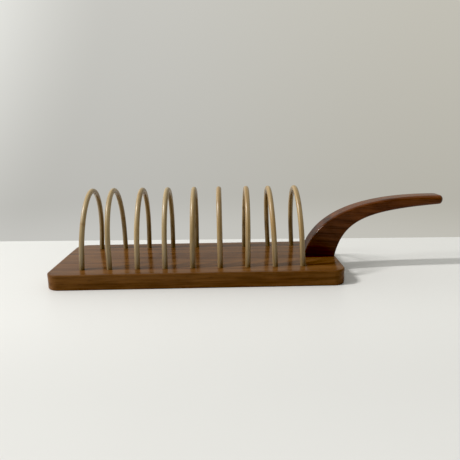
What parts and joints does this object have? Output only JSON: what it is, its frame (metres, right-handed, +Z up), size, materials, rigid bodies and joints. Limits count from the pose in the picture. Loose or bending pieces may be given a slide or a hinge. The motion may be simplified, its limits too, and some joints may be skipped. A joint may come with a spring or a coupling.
{
  "type": "toast rack",
  "caption": "Long toast rack: a flat hardwood base board, a row of bent cane hoops that hold slices upright between them, and a curved wooden carrying handle at one end.",
  "frame": {"origin": "centre of the base board's flat underside, where the rack rests", "axes": "+X runs along the board towards the handle, +Y across the board, parallel to each hoop's plane, +Z up from the table"},
  "size_m": [0.381, 0.11, 0.0858],
  "materials": {
    "teak": "oiled satin teak with fine straight grain",
    "dark_teak": "oiled satin teak, darker and redder, grain along the handle",
    "cane": "peeled round cane, clear varnished, honey brown",
    "screw_brass": "plain turned brass, slightly dulled"
  },
  "bodies": {
    "root": {"base_board": "teak", "hoop_1": "cane", "hoop_2": "cane", "hoop_3": "cane", "hoop_4": "cane", "hoop_5": "cane", "hoop_6": "cane", "hoop_7": "cane", "hoop_8": "cane", "hoop_9": "cane", "handle": "dark_teak", "handle_screw_1": "screw_brass", "handle_screw_2": "screw_brass"}
  },
  "joints": []
}
